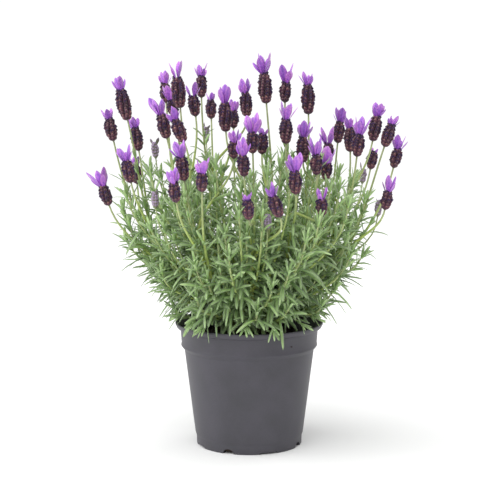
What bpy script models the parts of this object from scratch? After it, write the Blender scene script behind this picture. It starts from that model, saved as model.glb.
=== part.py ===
"""Potted Spanish lavender, in metres, +Z up, origin at the middle of the pot's base.

The pot, its soil, the woody crown, the leafy branches and the flower heads are
each one closed solid. Dimensions below are in millimetres and are scaled by MM.
"""

import math
import random
from collections import namedtuple

import bmesh
import bpy
import numpy as np
from mathutils import Vector

MM = 0.001
CAP_WELD = 0.00001
UNION_WELD = 0.0000002

# Nursery pot, a turned and moulded shell
POT_HEIGHT = 109.0
RIM_RADIUS = 65.0
LIP_DROP = 6.0
BAND_TOP_RADIUS = 60.4
BAND_FOOT_RADIUS = 59.3
BAND_FOOT = 87.5
LEDGE_DROP = 2.5
BODY_TOP_RADIUS = 57.0
BODY_FOOT_RADIUS = 47.6
BODY_FOOT = 10.0
FOOT_RADIUS = 46.7
WALL = 1.3
FLOOR = 1.8
POT_STEPS = 36

# Drain notches and the shallow slits between them, round the pot's foot
NOTCH_WIDTH = 10.5
NOTCH_HEIGHT = 4.3
SLIT_LENGTH = 16.0
SLIT_HEIGHT = 1.4
SLIT_DEPTH = 2.0
NOTCH_COUNT = 4
FIRST_NOTCH = math.radians(-113.0)
CUTTER_DEPTH = 16.0

# Soil, filled to a little under the rim
SOIL_EDGE = 94.0
SOIL_CENTRE = 97.0
GAP = 0.4

# Woody crown: a short trunk with one limb for each branch
TRUNK_RADIUS = 6.0
TRUNK_TOP = 106.0
LIMB_RADIUS = 2.4
LIMB_INNER = 9.0
LIMB_REACH = 0.15
LIMB_TOP = 119.0
LIMB_FALL = 0.35

# Stems and leaves
STEM_RADIUS = 1.35
STALK_RADIUS = 0.85
STALK_POINTS = 6
SPROUT = 0.42
NECK = 0.34
LEAF_LENGTH = 27.0
LEAF_WIDTH = 3.6
LEAF_THICKNESS = 1.1
LEAF_WIDEST = 0.45
LEAF_DROOP = 0.22
LEAF_CLEARANCE = 3.4
LEAVES_PER_STEM = 2

# Flower heads: a spike of overlapping calyces under a tuft of petal-like bracts
SPIKE_SIDES = 6
SPIKE_SLENDER = 3.5
SPIKE_GROWTH = 0.09
BRACT_COUNT = 3
BRACT_WIDTH = 6.5
BRACT_THICKNESS = 1.0
BRACT_WIDEST = 0.66
BRACT_SPLAY = math.radians(22.0)
BRACT_SEAT = 0.84

# across, depth and height of the spike's foot, lean to the right in degrees,
# length of the spike and length of the bracts
Head = namedtuple("Head", "across depth height lean spike bract")

# One branch a list, from the left side round by the back and the right to the front
BRANCHES = [
    [Head(-105, 0, 285, -13, 26, 14), Head(-121, -10, 212, -18, 17, 16),
     Head(-100, -35, 234, -12, 18, 13)],
    [Head(-120, 30, 265, -12, 19, 10), Head(-97, 20, 257, -10, 19, 11),
     Head(-101, 50, 225, -6, 16, 8)],
    [Head(-65, 20, 286, -12, 14, 15), Head(-74, 45, 298, -4, 16, 12),
     Head(-47, 25, 287, -8, 17, 12)],
    [Head(-59, -10, 296, -6, 26, 14), Head(-69, -40, 272, -14, 20, 15),
     Head(-54, -55, 270, -22, 19, 12)],
    [Head(-43, 60, 302, -1, 18, 12), Head(-35, 95, 281, -2, 16, 9),
     Head(-14, 50, 275, 0, 14, 11), Head(-2, 75, 284, -4, 21, 13)],
    [Head(15, 10, 299, -5, 26, 17), Head(-20, -15, 276, -2, 24, 16),
     Head(11, -5, 256, 2, 16, 7)],
    [Head(32, 50, 298, 2, 17, 17), Head(52, 20, 289, -2, 25, 13),
     Head(71, 40, 246, -2, 15, 15)],
    [Head(80, 60, 261, 6, 18, 13), Head(111, 75, 236, 10, 15, 5),
     Head(110, 40, 264, 10, 22, 12)],
    [Head(117, 0, 262, 18, 19, 10), Head(127, 20, 242, 13, 16, 13),
     Head(116, -25, 210, 10, 15, 14)],
    [Head(89, 20, 256, -2, 20, 10), Head(92, -20, 255, 6, 18, 15),
     Head(65, -30, 236, 5, 13, 15), Head(46, -20, 250, 0, 21, 14)],
    [Head(31, -35, 267, 0, 20, 16), Head(56, -60, 243, -2, 16, 15),
     Head(38, -90, 230, -3, 18, 15), Head(60, -80, 211, -4, 13, 11)],
    [Head(3, -60, 261, -2, 16, 17), Head(-4, -85, 244, -3, 17, 14),
     Head(25, -105, 213, -20, 18, 11), Head(0, -105, 211, -6, 15, 8)],
    [Head(-53, -80, 240, -8, 19, 14), Head(-38, -100, 233, 0, 14, 13),
     Head(-59, -95, 224, -7, 15, 13), Head(-13, -40, 255, 0, 13, 12)],
]

# Tips of the leafy shoots that carry no flower, by the branch they grow on
SHOOTS = {
    0: (-126, -10, 186),
    1: (-108, 56, 166),
    4: (-42, 114, 184),
    6: (28, 118, 178),
    7: (92, 84, 168),
    8: (121, 4, 164),
    10: (78, -86, 158),
    11: (6, -122, 164),
    12: (-68, -98, 152),
}


def clear_scene():
    """Remove every object that the scene starts with."""
    for old in list(bpy.data.objects):
        bpy.data.objects.remove(old, do_unlink=True)


def make_material(name, colour, roughness):
    """A Principled material with one colour and one roughness."""
    material = bpy.data.materials.new(name)
    material.use_nodes = True
    shader = material.node_tree.nodes["Principled BSDF"]
    shader.inputs["Base Color"].default_value = (*colour, 1.0)
    shader.inputs["Roughness"].default_value = roughness
    shader.inputs["Metallic"].default_value = 0.0
    material.diffuse_color = (*colour, 1.0)
    return material


def add_object(name, data, collection):
    """Put a mesh or curve in the scene as a new object."""
    piece = bpy.data.objects.new(name, data)
    collection.objects.link(piece)
    return piece


def solid_mesh(piece, weld_distance):
    """The evaluated object as a plain mesh with its loose caps welded."""
    graph = bpy.context.evaluated_depsgraph_get()
    mesh = bpy.data.meshes.new_from_object(piece.evaluated_get(graph))
    weld = bmesh.new()
    weld.from_mesh(mesh)
    bmesh.ops.remove_doubles(weld, verts=weld.verts, dist=weld_distance)
    bmesh.ops.recalc_face_normals(weld, faces=weld.faces)
    weld.to_mesh(mesh)
    weld.free()
    return mesh


def settle(piece, collection, weld_distance=CAP_WELD):
    """Swap an object for one that holds its evaluated mesh."""
    name = piece.name
    place = piece.matrix_world.copy()
    mesh = solid_mesh(piece, weld_distance)
    bpy.data.objects.remove(piece, do_unlink=True)
    solid = add_object(name, mesh, collection)
    solid.matrix_world = place
    return solid


def unite(body, others, collection):
    """Join several overlapping solids to one body."""
    for other in others:
        union = body.modifiers.new("join", "BOOLEAN")
        union.operation = "UNION"
        union.solver = "EXACT"
        union.object = other
        body = settle(body, collection, UNION_WELD)
        bpy.data.objects.remove(other, do_unlink=True)
    return body


def finish(piece, material):
    """Give a piece its material and smooth its round faces."""
    piece.data.materials.clear()
    piece.data.materials.append(material)
    piece.data.shade_smooth()
    piece.data.set_sharp_from_angle(angle=math.radians(35.0))


def turned(name, profile, steps, collection):
    """A solid of revolution from (radius, height) points in millimetres."""
    mesh = bpy.data.meshes.new(name)
    points = [(radius * MM, 0.0, height * MM) for radius, height in profile]
    edges = [(i, i + 1) for i in range(len(points) - 1)]
    mesh.from_pydata(points, edges, [])
    piece = add_object(name, mesh, collection)
    screw = piece.modifiers.new("turn", "SCREW")
    screw.angle = 2.0 * math.pi
    screw.steps = steps
    screw.render_steps = steps
    screw.use_merge_vertices = True
    screw.merge_threshold = 0.00001
    return piece


def tube(name, points, radii, collection):
    """A round stem along points in millimetres, with a radius at each."""
    curve = bpy.data.curves.new(name, "CURVE")
    curve.dimensions = "3D"
    curve.bevel_depth = MM
    curve.bevel_resolution = 1
    curve.use_fill_caps = True
    spline = curve.splines.new("POLY")
    spline.points.add(len(points) - 1)
    for knot, place, radius in zip(spline.points, points, radii):
        knot.co = (*(place * MM), 1.0)
        knot.radius = radius
    return settle(add_object(name, curve, collection), collection)


def blade(name, base, middle, tip, side, width, thickness, collection):
    """A narrow leaf or bract: a flat diamond section lofted from base to tip."""
    along = (tip - base).normalized()
    side = (side - along * side.dot(along)).normalized()
    face = along.cross(side)
    ring = [side * width * 0.5, face * thickness * 0.5,
            side * width * -0.5, face * thickness * -0.5]
    shape = bmesh.new()
    foot = shape.verts.new(base * MM)
    point = shape.verts.new(tip * MM)
    waist = [shape.verts.new((middle + part) * MM) for part in ring]
    for i in range(len(ring)):
        j = (i + 1) % len(ring)
        shape.faces.new((foot, waist[i], waist[j]))
        shape.faces.new((waist[i], point, waist[j]))
    bmesh.ops.recalc_face_normals(shape, faces=shape.faces)
    mesh = bpy.data.meshes.new(name)
    shape.to_mesh(mesh)
    shape.free()
    return add_object(name, mesh, collection)


def outer_wall():
    """The pot's outside from the lip to the foot, as (radius, height)."""
    return [
        (RIM_RADIUS, POT_HEIGHT),
        (RIM_RADIUS - 1.4, POT_HEIGHT - 4.2),
        (BAND_TOP_RADIUS, POT_HEIGHT - LIP_DROP),
        (BAND_FOOT_RADIUS, BAND_FOOT),
        (BODY_TOP_RADIUS, BAND_FOOT - LEDGE_DROP),
        (BODY_FOOT_RADIUS, BODY_FOOT),
        (FOOT_RADIUS, BODY_FOOT - 2.0),
        (FOOT_RADIUS - 0.3, 0.0),
    ]


def inner_wall():
    """The pot's inside from the floor up to the lip, one wall thickness in."""
    wall = [(radius - WALL, height) for radius, height in outer_wall()[2:-1]]
    wall.append((FOOT_RADIUS - 0.3 - WALL, FLOOR))
    return wall[::-1]


def round_the_foot(index):
    """The direction of a notch, or of a slit halfway between two notches."""
    angle = FIRST_NOTCH + index * math.pi / NOTCH_COUNT
    return angle, Vector((math.cos(angle), math.sin(angle), 0.0))


def make_cutter(index, cutters):
    """An arched drain notch for even numbers and a shallow slit for odd ones."""
    angle, outward = round_the_foot(index)
    if index % 2 == 0:
        bpy.ops.mesh.primitive_cylinder_add(vertices=16, radius=1.0, depth=2.0)
        size = (NOTCH_HEIGHT, NOTCH_WIDTH / 2.0, CUTTER_DEPTH / 2.0)
        turn = (0.0, math.pi / 2.0, angle)
        reach = FOOT_RADIUS
        name = f"drain_notch_{index}"
    else:
        bpy.ops.mesh.primitive_cube_add(size=2.0)
        size = (SLIT_DEPTH, SLIT_LENGTH / 2.0, SLIT_HEIGHT)
        turn = (0.0, 0.0, angle)
        reach = FOOT_RADIUS
        name = f"foot_slit_{index}"
    cutter = bpy.context.active_object
    cutter.name = name
    cutter.scale = [length * MM for length in size]
    cutter.rotation_euler = turn
    cutter.location = outward * reach * MM
    for home in list(cutter.users_collection):
        home.objects.unlink(cutter)
    cutters.objects.link(cutter)
    cutter.hide_render = True
    cutter.display_type = "WIRE"
    return cutter


def make_pot(parts, cutters, material):
    """The moulded pot: one turned shell with notches and slits cut in its foot."""
    profile = [(0.0, FLOOR)] + inner_wall()
    profile.append((RIM_RADIUS - 2.2, POT_HEIGHT - 0.3))
    profile += outer_wall()
    profile.append((0.0, 0.0))
    pot = turned("nursery_pot", profile, POT_STEPS, parts)
    pot = settle(pot, parts)
    for index in range(2 * NOTCH_COUNT):
        cut = pot.modifiers.new("drain", "BOOLEAN")
        cut.operation = "DIFFERENCE"
        cut.solver = "EXACT"
        cut.object = make_cutter(index, cutters)
    finish(pot, material)


def make_soil(parts, material):
    """The potting soil: it fills the pot, slightly domed, clear of the wall."""
    wall = [(radius, height) for radius, height in inner_wall() if height < SOIL_EDGE]
    top_radius = BAND_FOOT_RADIUS - WALL
    profile = [(0.0, SOIL_CENTRE), (top_radius * 0.55, SOIL_CENTRE - 0.8)]
    profile.append((top_radius - GAP, SOIL_EDGE))
    profile += [(radius - GAP, max(height, FLOOR + GAP)) for radius, height in wall[::-1]]
    profile.append((0.0, FLOOR + GAP))
    soil = settle(turned("potting_soil", profile, POT_STEPS, parts), parts)
    finish(soil, material)


def bezier(start, leave, arrive, end, t):
    """A point on a cubic curve through four places."""
    s = 1.0 - t
    return start * s ** 3 + leave * 3 * s * s * t + arrive * 3 * s * t * t + end * t ** 3


def stalk_line(start, heading, end, axis):
    """Points from a stem's start to a head's neck, leaving and arriving smoothly."""
    length = (end - start).length
    leave = start + heading * length * SPROUT
    arrive = end - axis * length * NECK
    steps = STALK_POINTS - 1
    return [bezier(start, leave, arrive, end, i / steps) for i in range(STALK_POINTS)]


def head_axis(head):
    """The way a flower head points: its lean across, and outward in depth."""
    across = math.tan(math.radians(head.lean))
    return Vector((across, math.tan(math.radians(head.depth / 10.0)), 1.0)).normalized()


def head_foot(head):
    """Where a head's spike starts."""
    return Vector((head.across, head.depth, head.height))


def limb_tip(heads):
    """Where a branch leaves the crown: under its own heads, so no two cross."""
    mean = sum((head_foot(head) for head in heads), Vector()) / len(heads)
    reach = Vector((mean.x, mean.y, 0.0))
    tip = reach.normalized() * (LIMB_INNER + LIMB_REACH * reach.length)
    tip.z = LIMB_TOP - LIMB_FALL * tip.length
    return tip


def limb_heading(tip):
    """A limb leans out more the further it reaches."""
    return Vector((tip.x * 0.055, tip.y * 0.055, 1.0)).normalized()


def make_crown(parts, material):
    """The woody crown: a short trunk and a limb to the foot of each branch."""
    foot = SOIL_CENTRE + GAP
    places = [Vector((0, 0, foot)), Vector((0, 0, foot + 5.0)), Vector((0, 0, TRUNK_TOP))]
    crown = tube("woody_crown", places, [TRUNK_RADIUS, TRUNK_RADIUS - 1, TRUNK_RADIUS - 2], parts)
    limbs = []
    for number, heads in enumerate(BRANCHES):
        tip = limb_tip(heads)
        start = Vector((0, 0, foot + 4.0))
        knee = Vector((tip.x * 0.6, tip.y * 0.6, foot + 0.45 * (tip.z - foot)))
        end = tip - limb_heading(tip) * GAP
        radii = [LIMB_RADIUS, LIMB_RADIUS, LIMB_RADIUS * 0.75]
        limbs.append(tube(f"limb_{number}", [start, knee, end], radii, parts))
    crown = unite(crown, limbs, parts)
    finish(crown, material)


def branch_lines(number, heads):
    """The stems of one branch: the first from the crown, the others forked off it."""
    tip = limb_tip(heads)
    neck_gap = GAP + 0.2
    lines = []
    for order, head in enumerate(heads):
        axis = head_axis(head)
        end = head_foot(head) - axis * neck_gap
        start = tip
        heading = limb_heading(tip)
        if order:
            start = lines[0][order]
            heading = (lines[0][order + 1] - lines[0][order]).normalized()
        lines.append(stalk_line(start, heading, end, axis))
    if number in SHOOTS:
        end = Vector(SHOOTS[number])
        outward = Vector((end.x, end.y, 40.0)).normalized()
        start = lines[0][1]
        heading = (lines[0][2] - lines[0][1]).normalized()
        lines.append(stalk_line(start, heading, end, outward))
    return lines


def fill_points(line, spacing=2.0):
    """Evenly close points along a stem, to keep leaves clear of it."""
    filled = []
    for first, second in zip(line, line[1:]):
        count = max(1, int((second - first).length / spacing))
        filled += [first.lerp(second, i / count) for i in range(count)]
    return filled + [line[-1]]


def is_clear(points, obstacles):
    """Whether every point keeps the leaf clearance from every obstacle."""
    here = np.array([tuple(point) for point in points])
    apart = np.linalg.norm(here[:, None, :] - obstacles[None, :, :], axis=2)
    return bool(apart.min() > LEAF_CLEARANCE)


def leaf_shapes(line, dice):
    """Candidate leaves on a stem, in pairs that turn a quarter from one to the next."""
    shapes = []
    for pair in range(LEAVES_PER_STEM):
        place = 0.6 + 1.3 * pair
        index = int(place)
        root = line[index].lerp(line[index + 1], place - index)
        along = (line[index + 1] - line[index]).normalized()
        turn = dice.uniform(0.0, 2.0 * math.pi)
        level = Vector((math.cos(turn), math.sin(turn), 0.0))
        out = (level - along * level.dot(along)).normalized()
        for way in (out, -out):
            heading = (way * 0.85 + along * 0.55).normalized()
            length = LEAF_LENGTH * dice.uniform(0.8, 1.1)
            middle = root + heading * length * LEAF_WIDEST
            tip = root + heading * length - Vector((0, 0, length * LEAF_DROOP))
            shapes.append((root, middle, tip, along.cross(way)))
    return shapes


def keep_leaves(own, lines, taken, dice):
    """The leaves of one branch that stay clear of everything else."""
    kept = []
    for line in lines:
        for root, middle, tip, side in leaf_shapes(line, dice):
            points = fill_points([root.lerp(middle, 0.3), middle, tip])
            free = tip.z > POT_HEIGHT + 4.0
            if free and is_clear(points, taken[own]) and is_clear(points[3:], taken["self"]):
                kept.append((root, middle, tip, side))
                for key in taken:
                    if key != own:
                        taken[key] = np.vstack([taken[key], [tuple(p) for p in points]])
    return kept


def head_points(head):
    """Points round and along a flower head, to keep leaves clear of it."""
    axis = head_axis(head)
    foot = head_foot(head)
    side = axis.cross(Vector((0, 1, 0))).normalized()
    front = axis.cross(side)
    points = []
    for step in range(int((head.spike + head.bract) / 4.0) + 1):
        centre = foot + axis * step * 4.0
        points += [centre + way * 5.0 for way in (side, -side, front, -front)]
        points.append(centre)
    return points


def make_branches(parts, material):
    """Each branch: its forked stems and its leaves, joined to one body."""
    dice = random.Random(11)
    every = [branch_lines(number, heads) for number, heads in enumerate(BRANCHES)]
    blooms = [point for heads in BRANCHES for head in heads for point in head_points(head)]
    sampled = [[p for line in lines for p in fill_points(line)] for lines in every]
    taken = {}
    for number in range(len(every)):
        others = [p for other, points in enumerate(sampled) if other != number for p in points]
        taken[number] = np.array([tuple(point) for point in others + blooms])
    for number, lines in enumerate(every):
        name = f"leafy_branch_{number + 1:02d}"
        own = [p for line in lines for p in fill_points(line)]
        taken["self"] = np.array([tuple(point) for point in own])
        leaves = keep_leaves(number, lines, taken, dice)
        stems = []
        for order, line in enumerate(lines):
            thick = STEM_RADIUS if order == 0 else STEM_RADIUS * 0.85
            last = len(line) - 1
            radii = [thick + (STALK_RADIUS - thick) * i / last for i in range(len(line))]
            stems.append(tube(f"{name}_stem_{order}", line, radii, parts))
        blades = []
        for order, (root, middle, tip, side) in enumerate(leaves):
            shape = blade(f"{name}_leaf_{order}", root, middle, tip, side,
                          LEAF_WIDTH, LEAF_THICKNESS, parts)
            blades.append(shape)
        branch = unite(stems[0], stems[1:] + blades, parts)
        branch.name = name
        finish(branch, material)


def make_head(number, head, parts, material):
    """One flower head: a turned spike with its bracts, joined to one body."""
    name = f"flower_head_{number:02d}"
    radius = SPIKE_SLENDER + SPIKE_GROWTH * head.spike
    length = head.spike
    profile = [(0.0, length), (radius * 0.62, length * 0.93), (radius, length * 0.5),
               (radius * 0.5, length * 0.04), (0.0, 0.0)]
    spike = settle(turned(name, profile, SPIKE_SIDES, parts), parts)
    bracts = []
    for order in range(BRACT_COUNT):
        turn = math.radians(head.across * 7.0 + head.depth * 3.0) + order * 2.0 * math.pi / BRACT_COUNT
        way = Vector((math.cos(turn), math.sin(turn), 0.0))
        upright = Vector((0.0, 0.0, 1.0))
        lift = upright * math.cos(BRACT_SPLAY) + way * math.sin(BRACT_SPLAY)
        base = upright * length * BRACT_SEAT
        reach = head.bract + length * (1.0 - BRACT_SEAT)
        middle = base + lift * reach * BRACT_WIDEST
        tip = base + lift * reach
        bracts.append(blade(f"{name}_bract_{order}", base, middle, tip, way.cross(upright),
                            BRACT_WIDTH, BRACT_THICKNESS, parts))
    flower = unite(spike, bracts, parts)
    flower.rotation_mode = "QUATERNION"
    flower.rotation_quaternion = head_axis(head).to_track_quat("Z", "Y")
    flower.location = head_foot(head) * MM
    finish(flower, material)


def main():
    clear_scene()
    parts = bpy.data.collections.new("potted_lavender")
    cutters = bpy.data.collections.new("potted_lavender_cutters")
    bpy.context.scene.collection.children.link(parts)
    bpy.context.scene.collection.children.link(cutters)
    plastic = make_material("moulded_pot_plastic", (0.085, 0.083, 0.092), 0.5)
    earth = make_material("potting_soil", (0.028, 0.018, 0.012), 0.95)
    bark = make_material("grey_brown_bark", (0.16, 0.115, 0.075), 0.85)
    green = make_material("grey_green_leaf", (0.19, 0.27, 0.12), 0.6)
    violet = make_material("violet_flower", (0.20, 0.055, 0.33), 0.6)
    make_pot(parts, cutters, plastic)
    make_soil(parts, earth)
    make_crown(parts, bark)
    make_branches(parts, green)
    heads = [head for branch in BRANCHES for head in branch]
    for number, head in enumerate(heads, start=1):
        make_head(number, head, parts, violet)


main()
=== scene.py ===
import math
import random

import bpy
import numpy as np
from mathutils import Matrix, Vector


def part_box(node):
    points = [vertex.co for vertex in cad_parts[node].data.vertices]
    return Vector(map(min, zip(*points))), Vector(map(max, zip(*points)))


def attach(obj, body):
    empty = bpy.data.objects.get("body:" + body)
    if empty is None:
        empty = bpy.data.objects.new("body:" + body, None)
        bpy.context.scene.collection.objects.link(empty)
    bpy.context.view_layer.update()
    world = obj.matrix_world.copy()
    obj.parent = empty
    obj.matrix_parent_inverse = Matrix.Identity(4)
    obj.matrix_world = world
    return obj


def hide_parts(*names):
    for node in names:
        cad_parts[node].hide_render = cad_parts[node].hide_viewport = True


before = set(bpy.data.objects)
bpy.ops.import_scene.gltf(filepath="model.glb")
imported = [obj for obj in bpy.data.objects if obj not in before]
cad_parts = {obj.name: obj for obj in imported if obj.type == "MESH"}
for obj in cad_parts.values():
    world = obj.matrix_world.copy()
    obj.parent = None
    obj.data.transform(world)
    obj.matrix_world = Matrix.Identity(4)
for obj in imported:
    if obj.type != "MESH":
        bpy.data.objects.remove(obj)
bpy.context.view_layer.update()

# Potted Spanish lavender: moulded nursery pot, bark-rich soil, woody crown, forked green
# stems, narrow felted leaves and dark flower spikes crowned with violet bracts.
# Everything is in metres. Flower heads, branches, soil and crown take their places from the
# frame's own nodes. The pot's outline, the leafy shoots and the young buds are set here.

MM = 0.001
UP = np.array([0.0, 0.0, 1.0])

SEED = 29
GOLDEN_ANGLE = 2.39996
HEADS_ON_BRANCH = [3, 3, 3, 3, 4, 3, 3, 3, 3, 4, 4, 4, 4]
rng = np.random.default_rng(SEED)
dice = random.Random(SEED)

# Holes round the pot's foot: notches and slits by turns, by the half sizes of what cuts them
HOLES = 8
FIRST_HOLE = -113.0
HOLE_STEP = 45.0
FOOT_RADIUS_MM = 46.7
NOTCH_SIZE = (4.3 * MM, 5.25 * MM, 8 * MM)
SLIT_SIZE = (7.0 * MM, 8.0 * MM, 1.6 * MM)
SOIL_RADIUS_MM = 57.4
BARK_CHIPS = 420

# Where no leaf may pass: the pot's wall, with room for a leaf's thickness, and its soil
WALL_TOP = 0.1105
WALL_INSIDE = 0.0555
WALL_OUTSIDE = 0.0672
SOIL_TOP = 0.099
SOIL_REACH = 0.060

# Foliage
LEAF_DROOP = (0.2, 0.85)
LEAF_HALF_WIDTH_MM = (1.35, 2.1)
AXIL_LEAF_CHANCE = 0.55
TUFT_LEAVES = 7
SHOOTS = 190
SHOOTS_IN_TIER = 19
RIM_SHOOTS = 15
SECTORS = 12

# Leaves on stalks, shoots and the low shoots over the rim: their spacing and length
STALK_LEAVES = (8.5 * MM, 27 * MM)
SHOOT_LEAVES = (8.6 * MM, 26 * MM)
RIM_LEAVES = (7.5 * MM, 18 * MM)

# Flower spikes
CALYX_ROW_MM = 2.7
CALYCES_ROUND = 7
COROLLA_CHANCE = 0.55
LOBE_STEP = 2.1
WIDEST_BRACT = 3.7 * MM

# Young buds, in mm: where each one's foot is, its spike's length and its crest's length
YOUNG_BUDS = [((-84, 50, 248), 13, 8), ((-40, 108, 258), 13, 7), ((105, 93, 221), 12, 9),
              ((114, 25, 198), 14, 4), ((15, -85, 200), 11, 5), ((-79, -40, 213), 12, 6)]

# Room, lamps and camera. A soft box has a name, a place, a size and a power.
ROOM_LIGHT = 0.60
ROOM_SEEN = 1.05
WINDOW_ENERGY = 2.1
WINDOW_ANGLE = 80
SOFT_BOXES = [("side_box", (-1.3, 0.1, 0.7), 0.9, 6.0), ("back_box", (0.9, 0.9, 0.9), 0.9, 4.0)]
LENS_MM = 113.0
CAMERA_PLACE = (0.0, -1.36, 0.362)
CAMERA_TARGET = (0.0007, 0.0, 0.172)


# ---------------------------------------------------------------- colour and materials

def srgb(code, alpha=1.0):
    """One sRGB hex colour as linear values."""
    parts = [int(code[i:i + 2], 16) / 255.0 for i in (1, 3, 5)]
    return [c / 12.92 if c <= 0.04045 else ((c + 0.055) / 1.055) ** 2.4 for c in parts] + [alpha]


def add(tree, kind, settings=None, links=None):
    """Add a node, set its properties and unlinked sockets, and link its inputs."""
    node = tree.nodes.new(kind)
    for key, value in (settings or {}).items():
        if isinstance(key, str) and hasattr(node, key):
            setattr(node, key, value)
        else:
            node.inputs[key].default_value = value
    for key, source in (links or {}).items():
        tree.links.new(source, node.inputs[key])
    return node


def new_material(name, **settings):
    """A material with a Principled shader whose own sockets hold its constants."""
    material = bpy.data.materials.new(name)
    material.use_nodes = True
    tree = material.node_tree
    shader = tree.nodes["Principled BSDF"]
    for key, value in settings.items():
        shader.inputs[key.replace("_", " ")].default_value = value
    return material, tree, shader


def ramp(tree, factor, stops):
    """A colour ramp over a factor, from (place, hex) stops."""
    node = add(tree, "ShaderNodeValToRGB", None, {"Fac": factor})
    bar = node.color_ramp
    while len(bar.elements) < len(stops):
        bar.elements.new(0.5)
    for element, (place, code) in zip(bar.elements, stops):
        element.position = place
        element.color = srgb(code)
    return node.outputs["Color"]


def mixed(tree, blend, amount, first, second):
    """Two colours mixed by a fixed or linked amount."""
    node = add(tree, "ShaderNodeMix", {"data_type": "RGBA", "blend_type": blend})
    if isinstance(amount, float):
        node.inputs["Factor"].default_value = amount
    else:
        tree.links.new(amount, node.inputs["Factor"])
    tree.links.new(first, node.inputs["A"])
    tree.links.new(second, node.inputs["B"])
    return node.outputs["Result"]


def plant_tissue(name, along, spread, spots_mm, roughness, sheen, veins=None,
                 mottled=("#A6A6A6", "#D2D2D2")):
    """Living tissue: a colour along each blade, varied from blade to blade, finely mottled."""
    settings = {"Roughness": roughness, "IOR": 1.42, "Sheen_Weight": sheen, "Sheen_Roughness": 0.4}
    material, tree, shader = new_material(name, **settings)
    blade = add(tree, "ShaderNodeAttribute", {"attribute_name": "blade"})
    split = add(tree, "ShaderNodeSeparateColor", None, {"Color": blade.outputs["Color"]})
    base = ramp(tree, split.outputs["Red"], along)
    each = ramp(tree, split.outputs["Green"], spread)
    colour = mixed(tree, "OVERLAY", 0.75, base, each)
    place = add(tree, "ShaderNodeTexCoord")
    mottle = add(tree, "ShaderNodeTexNoise", {"Scale": 1.0 / (spots_mm * MM), "Detail": 3.0},
                 {"Vector": place.outputs["Object"]})
    fine = ramp(tree, mottle.outputs["Fac"], [(0.35, mottled[0]), (0.65, mottled[1])])
    colour = mixed(tree, "OVERLAY", 0.45, colour, fine)
    if veins:
        rib = ramp(tree, split.outputs["Blue"], veins)
        colour = mixed(tree, "OVERLAY", 0.6, colour, rib)
    tree.links.new(colour, shader.inputs["Base Color"])
    return material


def moulded_polypropylene():
    """Injection-moulded polypropylene: a dull charcoal sheen, faint cloudy flow marks."""
    material, tree, shader = new_material("moulded_polypropylene", IOR=1.49)
    place = add(tree, "ShaderNodeTexCoord")
    flow = add(tree, "ShaderNodeTexNoise", {"Scale": 1.0 / (22.0 * MM), "Detail": 4.0},
               {"Vector": place.outputs["Object"]})
    colour = ramp(tree, flow.outputs["Fac"], [(0.3, "#3E3D43"), (0.7, "#47454D")])
    grain = add(tree, "ShaderNodeTexNoise", {"Scale": 1.0 / (0.9 * MM), "Detail": 2.0},
                {"Vector": place.outputs["Object"]})
    speck = ramp(tree, grain.outputs["Fac"], [(0.35, "#B0B0B0"), (0.7, "#C8C8C8")])
    colour = mixed(tree, "OVERLAY", 0.35, colour, speck)
    tree.links.new(colour, shader.inputs["Base Color"])
    rough = add(tree, "ShaderNodeMapRange", {"To Min": 0.42, "To Max": 0.56},
                {"Value": flow.outputs["Fac"]})
    tree.links.new(rough.outputs["Result"], shader.inputs["Roughness"])
    bump = add(tree, "ShaderNodeBump", {"Strength": 0.12, "Distance": 0.1 * MM},
               {"Height": grain.outputs["Fac"]})
    tree.links.new(bump.outputs["Normal"], shader.inputs["Normal"])
    return material


def rough_earth(name, stops, grit_mm, bump_mm):
    """Composted bark and peat, or dry bark: matt, crumbly, broken into dark and light grit."""
    material, tree, shader = new_material(name, Roughness=0.92, IOR=1.4)
    place = add(tree, "ShaderNodeTexCoord")
    grit = add(tree, "ShaderNodeTexNoise", {"Scale": 1.0 / (grit_mm * MM), "Detail": 6.0,
                                           "Roughness": 0.7}, {"Vector": place.outputs["Object"]})
    tree.links.new(ramp(tree, grit.outputs["Fac"], stops), shader.inputs["Base Color"])
    bump = add(tree, "ShaderNodeBump", {"Strength": 0.7, "Distance": bump_mm * MM},
               {"Height": grit.outputs["Fac"]})
    tree.links.new(bump.outputs["Normal"], shader.inputs["Normal"])
    return material


LEAF = plant_tissue("felted_leaf_blade",
                    [(0.0, "#8BA25C"), (0.3, "#809A68"), (1.0, "#9AAE88")],
                    [(0.0, "#70826C"), (0.5, "#B4B8AC"), (1.0, "#F0F2E4")],
                    5.0, 0.55, 0.25, [(0.0, "#DCE4C0"), (0.35, "#B6B8B2"), (1.0, "#BCBCBC")])
STEM = plant_tissue("ribbed_green_stem",
                    [(0.0, "#9AA050"), (0.45, "#AEBE70"), (1.0, "#A5AC88")],
                    [(0.0, "#A4A898"), (1.0, "#D0D6C0")], 3.0, 0.55, 0.2)
BRACT = plant_tissue("papery_violet_bract",
                     [(0.0, "#7C3F9C"), (0.35, "#A460C4"), (1.0, "#C48EDE")],
                     [(0.0, "#A49EA8"), (0.5, "#BEBCC0"), (1.0, "#E0D8E0")],
                     1.8, 0.5, 0.3, [(0.0, "#847C98"), (0.4, "#BCBCBC"), (1.0, "#EADCF0")],
                     ("#90889C", "#E4DCE8"))
CALYX = plant_tissue("woolly_purple_calyx",
                     [(0.0, "#5E4A40"), (0.4, "#45233C"), (0.78, "#553448"), (1.0, "#8A6C68")],
                     [(0.0, "#6C6874"), (0.6, "#B8B4B6"), (1.0, "#E6DFC6")], 1.2, 0.7, 0.35,
                     None, ("#8C848C", "#EAE0D4"))
COROLLA = plant_tissue("velvet_dark_corolla",
                       [(0.0, "#1A0A24"), (1.0, "#301446")],
                       [(0.0, "#909090"), (1.0, "#D8D0E0")], 1.0, 0.6, 0.3)
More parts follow.
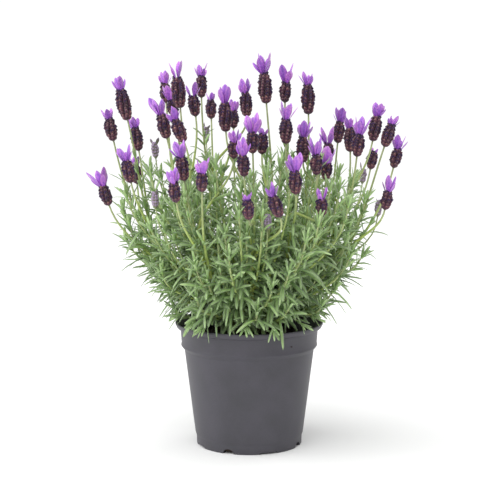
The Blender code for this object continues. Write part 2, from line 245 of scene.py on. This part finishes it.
PALE_BUD = plant_tissue("young_downy_bud",
                        [(0.0, "#7E8A5E"), (0.6, "#7C7668"), (1.0, "#A58FB5")],
                        [(0.0, "#A8A8A8"), (1.0, "#D0D0D0")], 2.0, 0.65, 0.3)
PLASTIC = moulded_polypropylene()
EARTH = rough_earth("composted_bark_soil", [(0.3, "#1E1611"), (0.6, "#3A2C21"), (0.8, "#5A4635")],
                    3.0, 1.0)
BARK = rough_earth("dry_stringy_bark", [(0.3, "#5B4B38"), (0.7, "#8C7A60")], 1.6, 0.5)


# ---------------------------------------------------------------- mesh builders

def unit(rows):
    """Rows of vectors at length one."""
    return rows / np.maximum(np.linalg.norm(rows, axis=-1, keepdims=True), 1e-12)


STEM_HINT = (0.31, 0.95, 0.05)
LEAF_HINT = (0.2, 0.97, 0.1)
HEAD_HINT = (0.11, 0.98, 0.17)


def around(axis, hint):
    """Two directions square to an axis, or to each of many. The first is square to the hint."""
    first = unit(np.cross(axis, np.array(hint)))
    return first, np.cross(axis, first)


def line_length(line):
    """The length of a row of points."""
    return np.sum(np.linalg.norm(np.diff(line, axis=0), axis=1))


def make_piece(name, verts, faces, material, blade=None, uvs=None, smooth=True):
    """A mesh object that rides on the root body and takes a finish."""
    mesh = bpy.data.meshes.new(name)
    mesh.from_pydata([tuple(v) for v in verts], [], faces)
    mesh.materials.append(material)
    if blade is not None:
        layer = mesh.color_attributes.new("blade", "FLOAT_COLOR", "POINT")
        layer.data.foreach_set("color", np.asarray(blade, dtype=np.float32).ravel())
    if uvs is not None:
        layer = mesh.uv_layers.new(name="OFBake")
        layer.data.foreach_set("uv", np.asarray(uvs, dtype=np.float32).ravel())
    if smooth:
        mesh.shade_smooth()
    piece = bpy.data.objects.new(name, mesh)
    bpy.context.scene.collection.objects.link(piece)
    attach(piece, "root")
    return piece


def lofted(blades, section, widths):
    """Closed blades, all alike in topology: a section carried along each bent centre line.

    A blade is (root, heading, side, length, half_width, bend, tint). The section is a ring
    of (across, up, rib) and widths are (place along, share of the half width). Gives the
    vertices, faces, blade attribute rows and bake UVs, one cell of a grid for each blade.
    """
    count = len(blades)
    root, heading, side = (np.array([b[i] for b in blades], dtype=float) for i in range(3))
    length, half = (np.array([b[i] for b in blades], dtype=float)[:, None] for i in (3, 4))
    bend = np.array([b[5] for b in blades], dtype=float)
    tint = np.array([b[6] for b in blades], dtype=float)
    ring = np.array(section, dtype=float)
    rings, sides = len(widths), len(section)
    verts = np.empty((count, rings * sides + 2, 3))
    rows = np.ones((count, rings * sides + 2, 4))
    verts[:, 0] = root
    verts[:, -1] = root + heading * length + bend * length
    rows[:, :, 1] = tint[:, None]
    rows[:, 0, 0], rows[:, -1, 0] = 0.0, 1.0
    rows[:, 0, 2], rows[:, -1, 2] = 0.0, 0.5
    for index, (place, share) in enumerate(widths):
        centre = root + heading * length * place + bend * length * place * place
        along = unit(heading + bend * 2.0 * place)
        across = unit(side - along * np.sum(side * along, axis=1, keepdims=True))
        up = np.cross(across, along)
        cut = slice(1 + index * sides, 1 + (index + 1) * sides)
        width = (half * share)[:, None]
        verts[:, cut] = (centre[:, None] + across[:, None] * width * ring[None, :, 0:1]
                         + up[:, None] * width * ring[None, :, 1:2])
        rows[:, cut, 0] = place
        rows[:, cut, 2] = ring[None, :, 2]
    one, spots = blade_faces(rings, sides, [place for place, share in widths])
    per = rings * sides + 2
    faces = [[v + n * per for v in face] for n in range(count) for face in one]
    cells = math.ceil(math.sqrt(count))
    margin = 0.06
    uv = margin + np.array(spots) * (1.0 - 2.0 * margin)
    cell = np.array([[n % cells, n // cells] for n in range(count)], dtype=float)
    uvs = (uv[None] + cell[:, None]) / cells
    return verts.reshape(-1, 3), faces, rows.reshape(-1, 4), uvs.reshape(-1, 2)


def blade_faces(rings, sides, places):
    """Faces and unwrapped corners of one blade that closes to a point at both ends."""
    faces, spots = [], []
    for j in range(sides):
        k = (j + 1) % sides
        low, high = j / sides, (j + 1) / sides
        faces.append([0, 1 + k, 1 + j])
        spots += [(0.0, (low + high) / 2), (places[0], high), (places[0], low)]
        for i in range(rings - 1):
            a, b = 1 + i * sides, 1 + (i + 1) * sides
            faces.append([a + j, a + k, b + k, b + j])
            here, after = places[i], places[i + 1]
            spots += [(here, low), (here, high), (after, high), (after, low)]
        last = 1 + (rings - 1) * sides
        faces.append([last + j, last + k, rings * sides + 1])
        spots += [(places[-1], low), (places[-1], high), (1.0, (low + high) / 2)]
    return faces, spots


LEAF_SECTION = [(-1.0, -0.28, 1.0), (-0.6, 0.14, 0.5), (0.0, 0.0, 0.0), (0.6, 0.14, 0.5),
                (1.0, -0.28, 1.0), (0.0, -0.18, 0.0)]
LEAF_WIDTHS = [(0.04, 0.4), (0.2, 0.78), (0.5, 1.0), (0.78, 0.88), (0.94, 0.55)]
BRACT_SECTION = [(-1.0, 0.10, 1.0), (-0.5, -0.02, 0.4), (0.0, 0.06, 0.0), (0.5, -0.02, 0.4),
                 (1.0, 0.10, 1.0), (0.5, -0.10, 0.4), (0.0, -0.04, 0.0), (-0.5, -0.10, 0.4)]
BRACT_WIDTHS = [(0.05, 0.3), (0.22, 0.48), (0.42, 0.78), (0.6, 1.0), (0.76, 0.92), (0.89, 0.62),
                (0.96, 0.3)]
ROUND_SECTION = [(math.cos(a), math.sin(a), 0.5) for a in np.linspace(0, 2 * math.pi, 7)[:-1]]
CALYX_WIDTHS = [(0.08, 0.55), (0.4, 1.0), (0.72, 0.92), (0.9, 0.5)]


def tubes(lines, radii, sides=8):
    """Round stems along point rows, tapered, with closed ends and their blade attribute."""
    verts, faces, rows = [], [], []
    for number, (line, radius) in enumerate(zip(lines, radii)):
        line = np.array(line)
        along = unit(np.gradient(line, axis=0))
        across, up = around(along, STEM_HINT)
        start = len(verts)
        count = len(line)
        tint = (number * 0.37) % 1.0
        for i in range(count):
            for j in range(sides):
                angle = 2 * math.pi * j / sides
                spot = across[i] * math.cos(angle) + up[i] * math.sin(angle)
                verts.append(line[i] + spot * radius[i])
                rows.append((i / (count - 1), tint, 0.5, 1.0))
        for i in range(count - 1):
            a, b = start + i * sides, start + (i + 1) * sides
            for j in range(sides):
                k = (j + 1) % sides
                faces.append([a + j, a + k, b + k, b + j])
        faces.append([start + j for j in range(sides)][::-1])
        faces.append([start + (count - 1) * sides + j for j in range(sides)])
    return verts, faces, rows


def lathe(profile, steps, ripple=None):
    """A closed turned mesh from (radius, height) points that start and end on the axis."""
    verts = [(0.0, 0.0, profile[0][1])]
    inner = profile[1:-1]
    for radius, height in inner:
        for k in range(steps):
            angle = 2 * math.pi * k / steps
            x, y, z = radius * math.cos(angle), radius * math.sin(angle), height
            if ripple:
                z += ripple(x, y, z)
            verts.append((x, y, z))
    verts.append((0.0, 0.0, profile[-1][1]))
    end = len(verts) - 1
    faces = [[0, 1 + k, 1 + (k + 1) % steps] for k in range(steps)]
    for i in range(len(inner) - 1):
        a, b = 1 + i * steps, 1 + (i + 1) * steps
        faces += [[a + k, b + k, b + (k + 1) % steps, a + (k + 1) % steps] for k in range(steps)]
    last = 1 + (len(inner) - 1) * steps
    faces += [[last + k, end, last + (k + 1) % steps] for k in range(steps)]
    return verts, faces


# ---------------------------------------------------------------- pot, soil and crown

def make_pot():
    """The pot: thin moulded wall, rounded lip, stacking ledge, notched foot."""
    low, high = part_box("nursery_pot")
    height = high[2] - low[2]
    rim = (high[0] - low[0]) / 2
    outside = [(rim - 0.9 * MM, height), (rim - 0.25 * MM, height - 0.25 * MM),
               (rim, height - 0.9 * MM),
               (rim - 0.2 * MM, height - 1.8 * MM), (rim - 1.3 * MM, height - 4.1 * MM),
               (rim - 1.9 * MM, height - 4.7 * MM), (60.7 * MM, height - 5.7 * MM),
               (60.4 * MM, height - 6.3 * MM), (59.55 * MM, 90.2 * MM), (59.95 * MM, 89.2 * MM),
               (59.95 * MM, 88.5 * MM), (59.4 * MM, 87.7 * MM),
               (57.5 * MM, 85.4 * MM), (56.95 * MM, 84.6 * MM), (56.85 * MM, 83.6 * MM),
               (47.75 * MM, 11.0 * MM), (47.4 * MM, 9.6 * MM), (46.8 * MM, 8.2 * MM),
               (46.65 * MM, 7.0 * MM), (46.4 * MM, 0.6 * MM), (45.9 * MM, 0.0)]
    inside = [(45.1 * MM, 1.8 * MM), (46.3 * MM, 11.0 * MM), (55.55 * MM, 83.6 * MM),
              (57.8 * MM, 87.6 * MM), (59.1 * MM, 102.6 * MM), (rim - 2.6 * MM, height - 1.4 * MM),
              (rim - 2.2 * MM, height - 0.3 * MM), (rim - 1.6 * MM, height)]
    floor = [(0.0, 1.8 * MM), (20 * MM, 1.8 * MM)]
    profile = floor + inside + outside + [(20 * MM, 0.0), (0.0, 0.0)]
    verts, faces = lathe(profile, 160)
    pot = make_piece("pot_shell", verts, faces, PLASTIC)
    cutters = []
    for index in range(HOLES):
        angle = math.radians(FIRST_HOLE + HOLE_STEP * index)
        if index % 2 == 0:
            bpy.ops.mesh.primitive_cylinder_add(vertices=40, radius=1.0, depth=2.0)
            size, tilt = NOTCH_SIZE, math.pi / 2
        else:
            bpy.ops.mesh.primitive_cube_add(size=2.0)
            size, tilt = SLIT_SIZE, 0.0
        cutter = bpy.context.active_object
        cutter.scale = size
        cutter.rotation_euler = (0.0, tilt, angle)
        cutter.location = Vector((math.cos(angle), math.sin(angle), 0.0)) * FOOT_RADIUS_MM * MM
        cut = pot.modifiers.new("drain", "BOOLEAN")
        cut.object = cutter
        cut.operation = "DIFFERENCE"
        cutters.append(cutter)
    graph = bpy.context.evaluated_depsgraph_get()
    solid = bpy.data.meshes.new_from_object(pot.evaluated_get(graph))
    pot.modifiers.clear()
    pot.data = solid
    solid.materials.clear()
    solid.materials.append(PLASTIC)
    solid.shade_smooth()
    solid.set_sharp_from_angle(angle=math.radians(38))
    for cutter in cutters:
        bpy.data.objects.remove(cutter, do_unlink=True)
    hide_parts("nursery_pot")


def make_soil():
    """Soil: a lumpy dark surface, and loose chips of bark lying on it."""
    low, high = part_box("potting_soil")
    top = high[2]

    def lumps(x, y, z):
        if z < top - 6 * MM:
            return 0.0
        return (math.sin(x * 900) * math.cos(y * 760) + math.sin(x * 410 + y * 530)) * 0.6 * MM

    steps = [(k / 12 * SOIL_RADIUS_MM * MM, top - (k / 12) ** 2 * 3 * MM) for k in range(1, 13)]
    side = [(55.0 * MM, 83.0 * MM), (45.9 * MM, 11 * MM), (44.6 * MM, low[2]), (0.0, low[2])]
    verts, faces = lathe([(0.0, top)] + steps + side, 120, lumps)
    soil = make_piece("soil_fill", verts, [face[::-1] for face in faces], EARTH)
    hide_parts("potting_soil")
    chips = []
    for _ in range(BARK_CHIPS):
        radius = 56 * MM * math.sqrt(rng.random())
        angle = rng.random() * 2 * math.pi
        root = np.array([radius * math.cos(angle), radius * math.sin(angle),
                         top - (radius / (SOIL_RADIUS_MM * MM)) ** 2 * 3 * MM + 0.4 * MM])
        heading = unit(np.array([rng.normal(), rng.normal(), 0.25 * rng.random()]))
        side = unit(np.cross(heading, UP))
        chips.append((root, heading, side, rng.uniform(3, 8) * MM, rng.uniform(0.8, 2.0) * MM,
                      UP * 0.02, rng.random()))
    flat_section = [(across, up * 0.5, rib) for across, up, rib in ROUND_SECTION]
    verts, faces, rows, uvs = lofted(chips, flat_section, CALYX_WIDTHS)
    make_piece("bark_chips", verts, faces, EARTH, rows, uvs, smooth=False)


# ---------------------------------------------------------------- stems and leaves

def bezier(start, leave, arrive, end, count):
    """Points on a cubic curve."""
    t = np.linspace(0.0, 1.0, count)[:, None]
    s = 1.0 - t
    return start * s ** 3 + leave * 3 * s * s * t + arrive * 3 * s * t * t + end * t ** 3


def stalk(start, heading, end, axis, count=16):
    """A stem that leaves along one direction and arrives along another."""
    length = np.linalg.norm(end - start)
    return bezier(start, start + heading * length * 0.42, end - axis * length * 0.34, end, count)


def clears_pot(blade):
    """Whether a leaf stays off the pot's wall and above its soil."""
    root, heading, _, length, _, bend, _ = blade
    for place in (0.3, 0.5, 0.7, 0.85, 1.0):
        spot = root + heading * length * place + bend * length * place * place
        radius = math.hypot(spot[0], spot[1])
        if spot[2] < WALL_TOP and WALL_INSIDE < radius < WALL_OUTSIDE:
            return False
        if spot[2] < SOIL_TOP and radius < SOIL_REACH:
            return False
    return True


def leaves_on(line, first, last, pitch, size, dress):
    """Pairs of leaves along a stem, each pair a quarter turn on, with small ones in the axils."""
    lengths = np.concatenate([[0.0], np.cumsum(np.linalg.norm(np.diff(line, axis=0), axis=1))])
    spot = first
    turn = rng.random() * math.pi
    blades = []
    while spot < min(last, lengths[-1] - 0.5 * MM):
        point = np.array([np.interp(spot, lengths, line[:, k]) for k in range(3)])
        ahead = np.array([np.interp(spot + 1 * MM, lengths, line[:, k]) for k in range(3)])
        along = unit(ahead - point)
        east, north = around(along, LEAF_HINT)
        share = (spot - first) / max(last - first, 1e-6)
        for way in (0, 1):
            angle = turn + way * math.pi + rng.normal() * 0.25
            out = east * math.cos(angle) + north * math.sin(angle)
            rise = 0.65 + 0.7 * share + rng.normal() * 0.12
            heading = unit(out + along * rise)
            length = size * (0.86 + 0.5 * share - 0.78 * share ** 2) * rng.uniform(0.75, 1.15)
            droop = rng.uniform(*LEAF_DROOP) * (1.05 - 0.65 * share) + dress
            half = rng.uniform(*LEAF_HALF_WIDTH_MM) * MM * (1.0 - 0.2 * share)
            side = np.cross(along, out)
            tint = np.clip(rng.normal(0.42 + 0.25 * share, 0.2), 0, 1)
            blades.append((point, heading, side, length, half, -UP * droop, tint))
            if rng.random() < AXIL_LEAF_CHANCE:
                angle += rng.choice([-0.5, 0.5])
                out = east * math.cos(angle) + north * math.sin(angle)
                heading = unit(out * 0.6 + along * (rise + 0.4))
                blades.append((point, heading, np.cross(along, out),
                               length * rng.uniform(0.4, 0.65), half * 0.75, -UP * 0.08,
                               np.clip(tint + 0.15, 0, 1)))
        turn += math.pi / 2
        spot += pitch * rng.uniform(0.75, 1.25)
    return [blade for blade in blades if clears_pot(blade)]


def tip_tuft(line, size):
    """The rosette of small upright leaves at a leafy shoot's tip."""
    along = unit(line[-1] - line[-2])
    east, north = around(along, LEAF_HINT)
    blades = []
    for k in range(TUFT_LEAVES):
        angle = k * 2.4
        out = east * math.cos(angle) + north * math.sin(angle)
        heading = unit(out * rng.uniform(0.25, 0.7) + along)
        blades.append((line[-1] - along * k * 0.7 * MM, heading, np.cross(along, out),
                       size * rng.uniform(0.55, 0.85), 1.2 * MM, -UP * rng.uniform(0.0, 0.12),
                       rng.uniform(0.6, 1.0)))
    return [blade for blade in blades if clears_pot(blade)]


def upward_points(name):
    """The vertices of a frame node, as they come and from the lowest up."""
    verts = np.array([tuple(v.co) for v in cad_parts[name].data.vertices])
    return verts, verts[np.argsort(verts[:, 2])]


def head_frame(number):
    """A flower head's foot, axis, spike length and whole length, from its CAD solid."""
    verts, order = upward_points(f"flower_head_{number:02d}")
    third = max(4, len(order) // 3)
    axis = unit(order[-third:].mean(axis=0) - order[:third].mean(axis=0))
    reach = verts @ axis
    foot = verts[np.argmin(reach)]
    total = reach.max() - reach.min()
    share = (reach - reach.min()) / total
    waist = verts[(share > 0.15) & (share < 0.42)]
    axis = unit(waist.mean(axis=0) - foot)
    spike = 2.0 * float(np.mean((waist - foot) @ axis))
    return foot, axis, spike, float(total)


def branch_root(number):
    """Where a branch leaves the crown: the lowest end of its CAD solid."""
    order = upward_points(f"leafy_branch_{number:02d}")[1]
    return order[:4].mean(axis=0)


def make_branches():
    """Each branch: stalks to its own flower heads, leafy for their lower part."""
    number = 0
    roots = []
    for branch, count in enumerate(HEADS_ON_BRANCH, start=1):
        root = branch_root(branch)
        roots.append(root)
        heading = unit(np.array([root[0] * 55.0, root[1] * 55.0, 1.0]))
        lines, radii, blades = [], [], []
        for order in range(count):
            number += 1
            foot, axis = head_frame(number)[:2]
            start, way = root, heading
            if order:
                start = lines[0][order * 3]
                way = unit(lines[0][order * 3 + 1] - lines[0][order * 3])
            line = stalk(start, way, foot + axis * 0.8 * MM, axis)
            length = line_length(line)
            bare = rng.uniform(28, 55) * MM
            lines.append(line)
            radii.append(np.linspace(1.45, 0.78, len(line)) * MM)
            blades += leaves_on(line, 24 * MM, length - bare, *STALK_LEAVES, 0.0)
        verts, faces, rows = tubes(lines, radii)
        stems = make_piece(f"flower_stalks_{branch:02d}", verts, faces, STEM, rows)
        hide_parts(f"leafy_branch_{branch:02d}")
        verts, faces, rows, uvs = lofted(blades, LEAF_SECTION, LEAF_WIDTHS)
        make_piece(f"stalk_leaves_{branch:02d}", verts, faces, LEAF, rows, uvs)
    return roots


def sector_of(angle):
    """Which sector of the plant a direction falls in."""
    return int((angle % (2 * math.pi)) / (2 * math.pi) * SECTORS)


def envelope(height):
    """How far out the foliage reaches at a height, in metres."""
    points = [(0.108, 0.058), (0.118, 0.066), (0.150, 0.090), (0.185, 0.110), (0.215, 0.113),
              (0.240, 0.094), (0.262, 0.052)]
    return float(np.interp(height, [p[0] for p in points], [p[1] for p in points]))


def make_shoots():
    """Leafy shoots without flowers, which fill the plant and hang over the rim."""
    lines = [[] for _ in range(SECTORS)]
    blades = [[] for _ in range(SECTORS)]
    for index in range(SHOOTS):
        angle = index * GOLDEN_ANGLE
        spread = (index % SHOOTS_IN_TIER) / (SHOOTS_IN_TIER - 1.0)
        height = 0.122 + 0.125 * spread + rng.uniform(-6, 6) * MM
        fill = 0.62 + 0.38 * math.sqrt(rng.random())
        if index % 3 == 0:
            fill *= 0.62
        reach = envelope(height) * fill
        end = np.array([math.cos(angle) * reach, math.sin(angle) * reach, height])
        out = np.array([math.cos(angle), math.sin(angle), 0.0])
        start = out * rng.uniform(7, 24) * MM + UP * rng.uniform(103, 116) * MM
        lean = 0.25 + 0.9 * (1.0 - spread)
        arrive = unit(out * rng.uniform(0.1, 0.7) * (1.2 - spread) + UP)
        line = stalk(start, unit(out * lean + UP * 0.8), end, arrive, 12)
        sector = sector_of(angle)
        length = line_length(line)
        lines[sector].append(line)
        first, last = 12 * MM + 0.2 * length, length - 4 * MM
        blades[sector] += leaves_on(line, first, last, *SHOOT_LEAVES, 0.0)
        blades[sector] += tip_tuft(line, 21 * MM)
    for index in range(RIM_SHOOTS):
        angle = index * 2 * math.pi / RIM_SHOOTS + rng.normal() * 0.06
        out = np.array([math.cos(angle), math.sin(angle), 0.0])
        start = out * 20 * MM + UP * 108 * MM
        end = out * rng.uniform(58, 70) * MM + UP * rng.uniform(113, 119) * MM
        line = bezier(start, start + out * 14 * MM + UP * 14 * MM,
                      end - out * 16 * MM + UP * 8 * MM, end, 10)
        sector = sector_of(angle)
        lines[sector].append(line)
        blades[sector] += leaves_on(line, 14 * MM, 60 * MM, *RIM_LEAVES, 0.05)
        blades[sector] += tip_tuft(line, 17 * MM)
    for sector in range(SECTORS):
        radii = [np.linspace(1.35, 0.7, len(line)) * MM for line in lines[sector]]
        verts, faces, rows = tubes(lines[sector], radii, 6)
        make_piece(f"leafy_shoots_{sector + 1:02d}", verts, faces, STEM, rows)
        verts, faces, rows, uvs = lofted(blades[sector], LEAF_SECTION, LEAF_WIDTHS)
        make_piece(f"shoot_leaves_{sector + 1:02d}", verts, faces, LEAF, rows, uvs)


def make_crown(roots):
    """The woody crown: gnarled limbs from one short trunk to every branch."""
    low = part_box("woody_crown")[0]
    foot = np.array([0.0, 0.0, low[2] - 2 * MM])
    lines, radii = [], []
    for root in roots:
        flat = np.array([root[0], root[1], 0.0])
        line = bezier(foot + flat * 0.12, foot + flat * 0.2 + UP * 7 * MM,
                      root - flat * 0.25 - UP * 7 * MM, root + UP * 1.0 * MM, 10)
        line += rng.normal(0, 0.25 * MM, line.shape)
        lines.append(line)
        radii.append(np.linspace(3.4, 1.5, 10) * MM * (1 + 0.12 * rng.normal(size=10)))
    verts, faces, rows = tubes(lines, radii, 10)
    crown = make_piece("crown_limbs", verts, faces, BARK, rows)
    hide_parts("woody_crown")


# ---------------------------------------------------------------- flowers

def spike_blades(foot, axis, spike, radius):
    """Rows of woolly calyces packed round a spike, tips outward, and the dark corollas."""
    east, north = around(axis, HEAD_HINT)
    calyces, corollas = [], []
    rows = max(5, int(round(spike / (CALYX_ROW_MM * MM))))
    for row in range(rows):
        share = (row + 0.3) / rows
        fullness = math.sin(math.pi * (0.08 + 0.86 * share)) ** 0.35
        for k in range(CALYCES_ROUND):
            angle = (k + 0.08 * row) * 2 * math.pi / CALYCES_ROUND + rng.normal() * 0.05
            out = east * math.cos(angle) + north * math.sin(angle)
            heading = unit(out * (0.8 - 0.3 * share) + axis * (0.95 + 0.3 * share))
            length = rng.uniform(4.6, 6.2) * MM * (0.75 + 0.25 * fullness)
            root = foot + axis * spike * share * 0.92 + out * (radius * fullness - 3.3 * MM)
            tint = float(np.clip(rng.normal(0.45, 0.28) + (0.4 if share < 0.2 else 0.0), 0, 1))
            side = unit(np.cross(axis, out))
            calyces.append((root, heading, side, length, 1.6 * MM, out * 0.1, tint))
            if share > 0.2 and rng.random() < COROLLA_CHANCE:
                tip = root + heading * length * 0.85
                for m in range(3):
                    across = side * math.cos(LOBE_STEP * m) * 0.9
                    lobe = unit(heading + across + axis * math.sin(LOBE_STEP * m) * 0.9)
                    corollas.append((tip, lobe, unit(np.cross(lobe, out + 0.01)), 2.0 * MM,
                                     0.8 * MM, out * 0.1, rng.random()))
    return calyces, corollas


def bract_blades(foot, axis, spike, length, count):
    """Petal-like bracts standing on the spike like ears, each cupped, waved and splayed."""
    east, north = around(axis, HEAD_HINT)
    blades = []
    turn = rng.random() * 2 * math.pi
    for k in range(count):
        angle = turn + k * 2 * math.pi / count + rng.normal() * 0.22
        out = east * math.cos(angle) + north * math.sin(angle)
        splay = rng.uniform(0.08, 0.3) + (0.22 if k % 2 else 0.0)
        heading = unit(axis + out * splay)
        size = length * rng.uniform(0.95, 1.2) * (0.8 if k % 2 else 1.0)
        root = foot + axis * (spike - 1.8 * MM) + out * 1.3 * MM
        half = min(size * rng.uniform(0.17, 0.24), WIDEST_BRACT)
        twist = unit(np.cross(axis, out) + out * rng.normal() * 0.35)
        blades.append((root, heading, twist, size, half, out * rng.uniform(-0.05, 0.2),
                       rng.random()))
    return blades


def make_flower(name, node, foot, axis, spike, crest, young):
    """One flower head: calyces, corollas and bracts in three materials on one piece."""
    radius = (2.0 * MM if young else 3.4 * MM) + 0.1 * spike
    calyces, corollas = spike_blades(foot, axis, spike, radius)
    bracts = bract_blades(foot, axis, spike, crest, 2 if young else dice.choice([5, 6, 6, 7]))
    side = around(axis, HEAD_HINT)[0]
    core = [(foot - axis * 0.5 * MM, axis, side, spike, radius * 0.62, axis * 0.0, 0.3)]
    groups = [(calyces, ROUND_SECTION, CALYX_WIDTHS, PALE_BUD if young else CALYX),
              (core, ROUND_SECTION, CALYX_WIDTHS, PALE_BUD if young else CALYX),
              (bracts, BRACT_SECTION, BRACT_WIDTHS, PALE_BUD if young else BRACT)]
    if corollas and not young:
        groups.append((corollas, ROUND_SECTION, CALYX_WIDTHS, COROLLA))
    verts, faces, rows, slots = [], [], [], []
    for group, (blades, section, widths, material) in enumerate(groups):
        v, f, r, _ = lofted(blades, section, widths)
        base = sum(len(part) for part in verts)
        verts.append(v)
        rows.append(r)
        faces += [[index + base for index in face] for face in f]
        slots += [group] * len(f)
    piece = make_piece(name, np.concatenate(verts), faces, groups[0][3],
                       np.concatenate(rows))
    for *_, material in groups[1:]:
        piece.data.materials.append(material)
    piece.data.polygons.foreach_set("material_index", slots)
    if node:
        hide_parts(node)


def make_flowers():
    """A detailed head for each CAD head, and six pale buds on thin stalks of their own."""
    for number in range(1, sum(HEADS_ON_BRANCH) + 1):
        foot, axis, spike, total = head_frame(number)
        make_flower(f"lavender_spike_{number:02d}", f"flower_head_{number:02d}", foot, axis, spike,
                    total - spike + 2.2 * MM, False)
    lines, radii = [], []
    for number, (place, spike, crest) in enumerate(YOUNG_BUDS, start=1):
        foot = np.array(place) * MM
        axis = unit(np.array([foot[0] * 0.8, foot[1] * 0.8, 1.0]))
        make_flower(f"young_bud_{number}", None, foot, axis, spike * MM, crest * MM, True)
        out = unit(np.array([foot[0], foot[1], 0.0]))
        lines.append(stalk(out * 15 * MM + UP * 112 * MM, unit(out * 0.5 + UP), foot, axis))
        radii.append(np.linspace(1.0, 0.6, 16) * MM)
    verts, faces, rows = tubes(lines, radii)
    make_piece("bud_stalks", verts, faces, STEM, rows)


# ---------------------------------------------------------------- studio

def aim(thing, target):
    """Turn a lamp or camera to look at a point."""
    way = Vector(target) - thing.location
    thing.rotation_euler = way.to_track_quat("-Z", "Y").to_euler()


def make_studio():
    """White floor and surroundings, a high window, two soft boxes and the camera."""
    material, _, shader = new_material("matt_white_sweep", Roughness=0.9, IOR=1.45)
    shader.inputs["Base Color"].default_value = srgb("#F7F7F7")
    bpy.ops.mesh.primitive_plane_add(size=12.0)
    floor = bpy.context.active_object
    floor.name = "studio_floor"
    floor.data.materials.append(material)
    scene = bpy.context.scene
    world = bpy.data.worlds.new("white_room")
    world.use_nodes = True
    room = world.node_tree
    backdrop = room.nodes["Background"]
    backdrop.inputs["Color"].default_value = srgb("#FFFFFF")
    seen = add(room, "ShaderNodeLightPath")
    level = add(room, "ShaderNodeMapRange", {"To Min": ROOM_LIGHT, "To Max": ROOM_SEEN},
                {"Value": seen.outputs["Is Camera Ray"]})
    room.links.new(level.outputs["Result"], backdrop.inputs["Strength"])
    scene.world = world
    scene.view_settings.view_transform = "Standard"
    window = bpy.data.lights.new("high_window", "SUN")
    window.energy = WINDOW_ENERGY
    window.angle = math.radians(WINDOW_ANGLE)
    sky = bpy.data.objects.new("high_window", window)
    sky.location = (-0.4, -0.7, 1.3)
    scene.collection.objects.link(sky)
    aim(sky, (0.0, 0.0, 0.0))
    for name, place, size, power in SOFT_BOXES:
        lamp = bpy.data.lights.new(name, "AREA")
        lamp.size = size
        lamp.energy = power
        holder = bpy.data.objects.new(name, lamp)
        holder.location = place
        scene.collection.objects.link(holder)
        aim(holder, (0.0, 0.0, 0.17))
    lens = bpy.data.cameras.new("camera")
    lens.lens = LENS_MM
    camera = bpy.data.objects.new("camera", lens)
    camera.location = CAMERA_PLACE
    scene.collection.objects.link(camera)
    aim(camera, CAMERA_TARGET)
    scene.camera = camera


make_studio()
make_pot()
make_soil()
branch_roots = make_branches()
make_crown(branch_roots)
make_shoots()
make_flowers()
